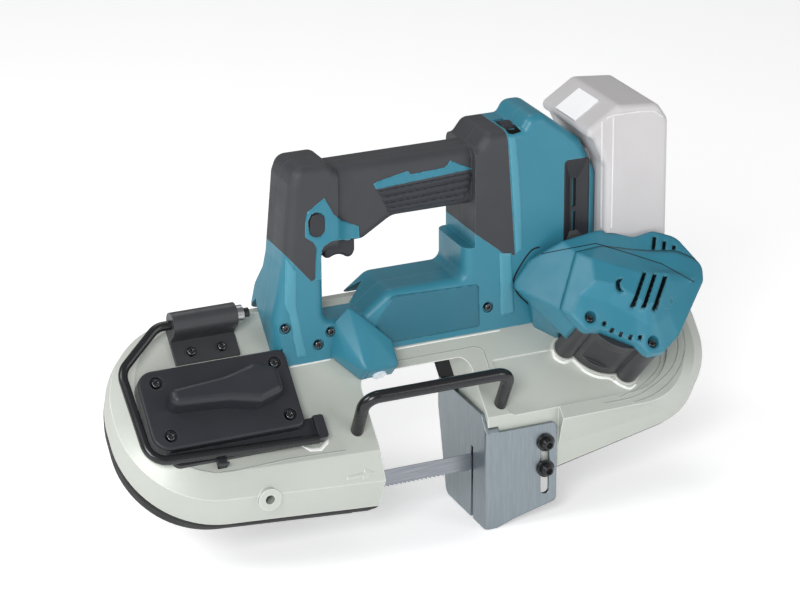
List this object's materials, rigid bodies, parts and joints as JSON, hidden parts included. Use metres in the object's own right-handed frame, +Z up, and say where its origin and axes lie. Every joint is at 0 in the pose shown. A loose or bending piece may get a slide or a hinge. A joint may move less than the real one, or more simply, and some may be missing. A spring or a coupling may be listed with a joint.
{
  "type": "portable band saw",
  "caption": "Cordless portable band saw: tilted cast frame with open throat, twisted saw band on two wheels, closed handle with trigger, hanging hook and upright battery.",
  "frame": {"origin": "middle of the overall box, on the plane the saw rests on", "axes": "+X along the band from the idler to the drive wheel, +Y away from the front, +Z up"},
  "size_m": [0.448, 0.157, 0.2864],
  "materials": {
    "casting": "cast, fine grit-blasted lacquer",
    "guard": "moulded black",
    "teal": "moulded, fine texture",
    "elastomer": "soft overmould",
    "charcoal": "moulded, fine texture",
    "gear_case": "black painted casting",
    "black_steel": "black coated steel",
    "steel": "ground",
    "zinc": "zinc plated sheet",
    "wheel_metal": "die cast",
    "wheel_rubber": "moulded",
    "lens": "clear",
    "pack_plastic": "moulded pale grey"
  },
  "bodies": {
    "frame": {"deck_frame": "casting", "wheel_cover": "guard", "wheel_cover_screws": "black_steel", "saw_band": "steel", "spindle_bearing": "steel", "guide_block_left": "wheel_metal", "guide_block_right": "wheel_metal", "guide_pins": "steel", "stopper_bolts": "black_steel", "stopper_washers": "black_steel", "front_bar": "black_steel", "slide_rails": "steel", "tension_cover": "charcoal", "casting_screws": "black_steel", "gear_housing": "gear_case", "motor_stator": "steel", "motor_bearing": "steel", "motor_cover_lower": "teal", "motor_cover_upper": "teal", "shell_front": "teal", "shell_rear": "teal", "grip_front": "elastomer", "grip_rear": "elastomer", "housing_screws": "black_steel", "switch_body": "charcoal", "controller": "charcoal", "vent_insert": "charcoal", "lamp_lens": "lens", "terminal_block": "charcoal", "hook_holder": "black_steel", "hook_holder_screws": "black_steel", "trigger_spring": "steel"},
    "drive": {"drive_wheel": "wheel_metal", "drive_tyre": "wheel_rubber", "drive_spindle": "steel", "output_gear": "steel"},
    "carriage": {"tension_slide": "steel", "idler_axle": "steel", "axle_clip": "steel"},
    "idler": {"idler_wheel": "wheel_metal", "idler_tyre": "wheel_rubber", "idler_bearing": "steel"},
    "middle": {"middle_gear": "steel"},
    "rotor": {"motor_rotor": "steel", "motor_fan": "charcoal"},
    "roller_left_front": {"guide_roller_left_front": "steel"},
    "roller_left_back": {"guide_roller_left_back": "steel"},
    "roller_right_front": {"guide_roller_right_front": "steel"},
    "roller_right_back": {"guide_roller_right_back": "steel"},
    "stopper": {"stopper_plate": "zinc"},
    "lever": {"tension_lever": "charcoal", "tension_cam": "steel"},
    "hook": {"hook_arm": "black_steel", "hook_nut": "black_steel"},
    "trigger": {"trigger": "charcoal"},
    "lock": {"lock_button": "charcoal"},
    "dial": {"speed_dial": "charcoal"},
    "battery": {"battery_case": "pack_plastic"},
    "battery_latch": {"battery_button": "pack_plastic"}
  },
  "joints": [
    {"name": "drive_spin", "type": "hinge", "parent": "frame", "child": "drive", "pos_m": [0.139, 0.01838, 0.08603], "axis": [0, -0.7071, 0.7071], "continuous": true},
    {"name": "tension_shift", "type": "slide", "parent": "frame", "child": "carriage", "axis": [1, 0, 0], "range_m": [0, 0.006]},
    {"name": "idler_spin", "type": "hinge", "parent": "carriage", "child": "idler", "pos_m": [-0.12175, 0.01838, 0.08603], "axis": [0, -0.7071, 0.7071], "continuous": true},
    {"name": "middle_spin", "type": "hinge", "parent": "frame", "child": "middle", "pos_m": [0.16573, -0.00734, 0.13101], "axis": [0, -0.7071, 0.7071], "continuous": true},
    {"name": "rotor_spin", "type": "hinge", "parent": "frame", "child": "rotor", "pos_m": [0.14656, -0.04056, 0.15436], "axis": [0, -0.7071, 0.7071], "continuous": true},
    {"name": "roller_left_front_spin", "type": "hinge", "parent": "frame", "child": "roller_left_front", "pos_m": [-0.06, -0.03077, 0.0436], "axis": [0, 0, 1], "continuous": true},
    {"name": "roller_left_back_spin", "type": "hinge", "parent": "frame", "child": "roller_left_back", "pos_m": [-0.06, -0.01767, 0.0436], "axis": [0, 0, 1], "continuous": true},
    {"name": "roller_right_front_spin", "type": "hinge", "parent": "frame", "child": "roller_right_front", "pos_m": [0.049, -0.03077, 0.0436], "axis": [0, 0, 1], "continuous": true},
    {"name": "roller_right_back_spin", "type": "hinge", "parent": "frame", "child": "roller_right_back", "pos_m": [0.049, -0.01767, 0.0436], "axis": [0, 0, 1], "continuous": true},
    {"name": "tension_lever_swing", "type": "hinge", "parent": "frame", "child": "lever", "pos_m": [-0.13, -0.02334, 0.12916], "axis": [0, -0.7071, 0.7071], "range_deg": [0, 120]},
    {"name": "hook_swing", "type": "hinge", "parent": "frame", "child": "hook", "pos_m": [-0.15, 0.01838, 0.16664], "axis": [-1, 0, 0], "range_deg": [0, 110]},
    {"name": "trigger_pull", "type": "slide", "parent": "frame", "child": "trigger", "axis": [0, 0, 1], "range_m": [0, 0.006], "stiffness_N_per_m": 600, "springref_m": -0.004, "deforming": ["trigger_spring"]},
    {"name": "lock_push", "type": "slide", "parent": "frame", "child": "lock", "axis": [0, 1, 0], "range_m": [0, 0.004], "stiffness_N_per_m": 400, "springref_m": -0.003},
    {"name": "speed_dial_turn", "type": "hinge", "parent": "frame", "child": "dial", "pos_m": [0.075, 0.01796, 0.2656], "axis": [1, 0, 0], "range_deg": [0, 270]},
    {"name": "stopper_shift", "type": "slide", "parent": "frame", "child": "stopper", "axis": [0, 0, 1], "range_m": [0, 0.015]},
    {"name": "battery_slide", "type": "slide", "parent": "frame", "child": "battery", "axis": [0, 0, 1], "range_m": [0, 0.09]},
    {"name": "battery_button_press", "type": "slide", "parent": "battery", "child": "battery_latch", "axis": [0.5446, 0, -0.8387], "range_m": [0, 0.003], "stiffness_N_per_m": 500, "springref_m": -0.003}
  ],
  "couplings": [
    {"joint": "idler_spin", "follows": "drive_spin", "ratio": 1},
    {"joint": "middle_spin", "follows": "drive_spin", "ratio": -5},
    {"joint": "rotor_spin", "follows": "drive_spin", "ratio": 31.429},
    {"joint": "roller_left_front_spin", "follows": "drive_spin", "ratio": -10},
    {"joint": "roller_left_back_spin", "follows": "drive_spin", "ratio": 10},
    {"joint": "roller_right_front_spin", "follows": "drive_spin", "ratio": -10},
    {"joint": "roller_right_back_spin", "follows": "drive_spin", "ratio": 10},
    {"joint": "tension_lever_swing", "follows": "tension_shift", "rad_per_m": 349.06}
  ]
}
